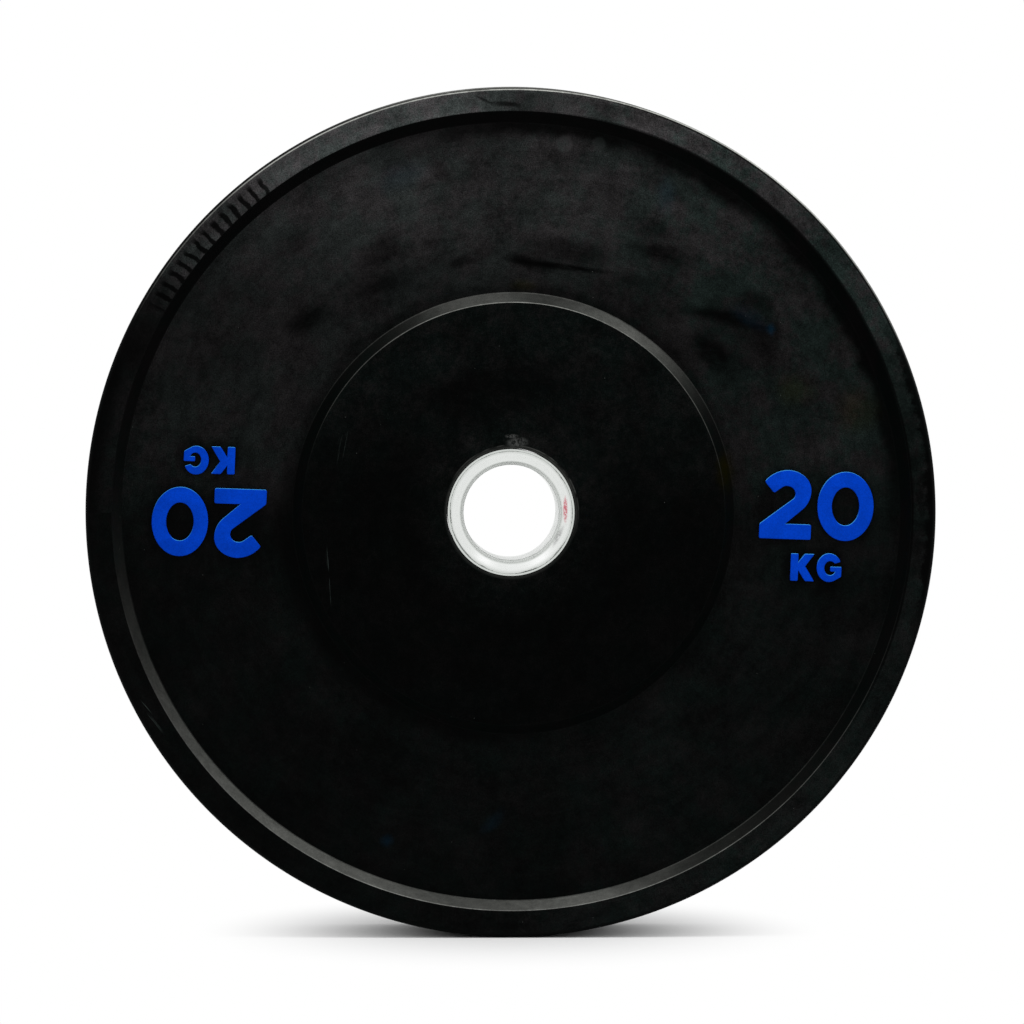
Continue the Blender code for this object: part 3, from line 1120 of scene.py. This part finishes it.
def add_figures(name, finish, half_turns, face):
    """Raised figures on the dish: a weight of 20 over its unit, on one side of the bore."""
    joined = bmesh.new()
    for contours_of_sign, left, base in SIGNS:
        mesh = sign_mesh(name, contours_of_sign(), left, base)
        joined.from_mesh(mesh)
        bpy.data.meshes.remove(mesh)
    bmesh.ops.remove_doubles(joined, verts=joined.verts, dist=1e-6)
    # The signs lie in XY and rise along Z. On the front face they stand in XZ and rise along -Y.
    stand = Matrix.Rotation(math.pi / 2, 4, "X")
    middle = WEB_HALF + (FIGURE_HEIGHT - FIGURE_ROOT) / 2
    raise_by = Matrix.Translation((0, -middle * MM, 0))
    roll = Matrix.Rotation(math.radians(-FIGURE_ROLL + 180.0 * half_turns), 4, "Y")
    right, up = FIGURE_SHIFT[half_turns]
    shift = Matrix.Translation((right * MM, 0, up * MM))
    turn = Matrix.Rotation(math.pi * face, 4, "Z")
    bmesh.ops.transform(joined, matrix=turn @ shift @ roll @ raise_by @ stand, verts=joined.verts)
    bmesh.ops.recalc_face_normals(joined, faces=joined.faces)
    return add_piece(name, joined, finish, SHARP_FIGURES)


# Build

rubber = rubber_finish()
steel = steel_finish("bright_steel_turned", (0.77, 0.79, 0.77), (0.42, 0.45, 0.42), 0.22, 0.34)
tube_steel = steel_finish("bright_steel_edge", (0.76, 0.79, 0.76), (0.30, 0.32, 0.30), 0.28, 0.42)
blue = blue_finish()

moulding = make_rubber(rubber)
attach(moulding, root)
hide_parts("rubber_body")

tube = make_tube(tube_steel)
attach(tube, root)
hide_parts("hub_tube")

for bush_name, node, face in (
    ("front_bush_turned", "front_bush", 0),
    ("back_bush_turned", "back_bush", 1),
):
    bush = make_bush(bush_name, steel, face)
    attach(bush, root)
    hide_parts(node)

for figures_name, half_turns, face in (
    ("figures_front_right", 0, 0),
    ("figures_front_left", 1, 0),
    ("figures_back_right", 0, 1),
    ("figures_back_left", 1, 1),
):
    figures = add_figures(figures_name, blue, half_turns, face)
    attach(figures, root)

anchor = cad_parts["anchor_plate"]
anchor.data.materials.clear()
anchor.data.materials.append(mild_steel_finish())


# Floor and surround

# The floor's radius in metres, and how far from the plate it turns plain white
FLOOR_RADIUS = 40.0
WHITE_FROM = 30.0
WHITE_BY = 170.0
WHITE = (1, 1, 1, 1)
FLOOR_WHITE = (0.92, 0.92, 0.92, 1.0)
SURROUND_LIGHT = 0.55


def seen_rays(tree):
    """1 for rays that show the surround, straight or mirrored, and 0 for those that only light."""
    path = tree.nodes.new("ShaderNodeLightPath")
    seen = path.outputs["Is Camera Ray"]
    for kind in ("Is Glossy Ray", "Is Transmission Ray"):
        larger = tree.nodes.new("ShaderNodeMath")
        larger.operation = "MAXIMUM"
        tree.links.new(seen, larger.inputs[0])
        tree.links.new(path.outputs[kind], larger.inputs[1])
        seen = larger.outputs[0]
    return seen


def blended(tree, factor, first, second, output):
    """Puts a mix of two shaders into the material's or world's output."""
    blend = tree.nodes.new("ShaderNodeMixShader")
    for socket, value in zip(blend.inputs, (factor, first.outputs[0], second.outputs[0])):
        tree.links.new(value, socket)
    tree.links.new(blend.outputs[0], output.inputs["Surface"])


def floor_finish():
    """White matt floor that keeps the plate's shadow near it and meets the plain white surround."""
    g = Graph("white_floor")
    far = g.span(g.length(g.x, g.mul(g.y, 0.8)), WHITE_FROM, WHITE_BY)
    g.finish(Base_Color=FLOOR_WHITE, Roughness=0.9, Specular_IOR_Level=0.0)
    glow = g.node("ShaderNodeEmission", {"Color": WHITE, "Strength": 1.0})
    factor = g.mul(seen_rays(g.tree), far)
    blended(g.tree, factor, g.shader, glow, g.tree.nodes["Material Output"])
    return g.material


def white_surround():
    """A world that lights softly and shows as plain white."""
    world = bpy.data.worlds.new("studio")
    world.use_nodes = True
    tree = world.node_tree
    tree.nodes.clear()
    sides = []
    for strength in (SURROUND_LIGHT, 1.0):
        side = tree.nodes.new("ShaderNodeBackground")
        side.inputs["Color"].default_value = WHITE
        side.inputs["Strength"].default_value = strength
        sides.append(side)
    blended(tree, seen_rays(tree), *sides, tree.nodes.new("ShaderNodeOutputWorld"))
    return world


floor_shape = bmesh.new()
bmesh.ops.create_circle(floor_shape, cap_ends=True, segments=96, radius=FLOOR_RADIUS)
floor = add_piece("floor", floor_shape, floor_finish())
floor.location.z = -PLATE_RADIUS * MM

bpy.context.scene.world = white_surround()


# Light and camera, with places and sizes in metres

LIGHT_PLACE = (0.22, -0.22, 0.80)
LIGHT_AIM = (0.0, -0.04, -0.05)
LIGHT_WIDTH = 0.45
LIGHT_DEPTH = 0.30
LIGHT_WATTS = 6.0

# A little left of the bore's axis and a little above it, at the photo's focal length in pixels
CAMERA_PLACE = (-0.0465, -2.785, 0.0503)
CAMERA_AIM = (0.0004, -0.04, 0.0003)
CAMERA_REACH = 200.0
FOCAL_PX = 5200.0
PHOTO_PX = 1024.0
SENSOR_WIDTH = 36.0


def placed(name, data, place, target):
    """A light or camera at a place, looking at a target."""
    obj = bpy.data.objects.new(name, data)
    bpy.context.scene.collection.objects.link(obj)
    obj.location = place
    obj.rotation_euler = (Vector(target) - obj.location).to_track_quat("-Z", "Y").to_euler()
    return obj


def add_softbox():
    """A soft light above and to the right, which no ray sees in the steel."""
    data = bpy.data.lights.new("overhead_softbox", "AREA")
    data.shape = "RECTANGLE"
    data.size = LIGHT_WIDTH
    data.size_y = LIGHT_DEPTH
    data.energy = LIGHT_WATTS
    lamp = placed("overhead_softbox", data, LIGHT_PLACE, LIGHT_AIM)
    lamp.visible_camera = False
    lamp.visible_glossy = False


def add_camera():
    data = bpy.data.cameras.new("camera")
    data.sensor_width = SENSOR_WIDTH
    data.lens = SENSOR_WIDTH * FOCAL_PX / PHOTO_PX
    data.clip_end = CAMERA_REACH
    bpy.context.scene.camera = placed("camera", data, CAMERA_PLACE, CAMERA_AIM)


add_softbox()
add_camera()

view = bpy.context.scene.view_settings
view.view_transform = "Standard"
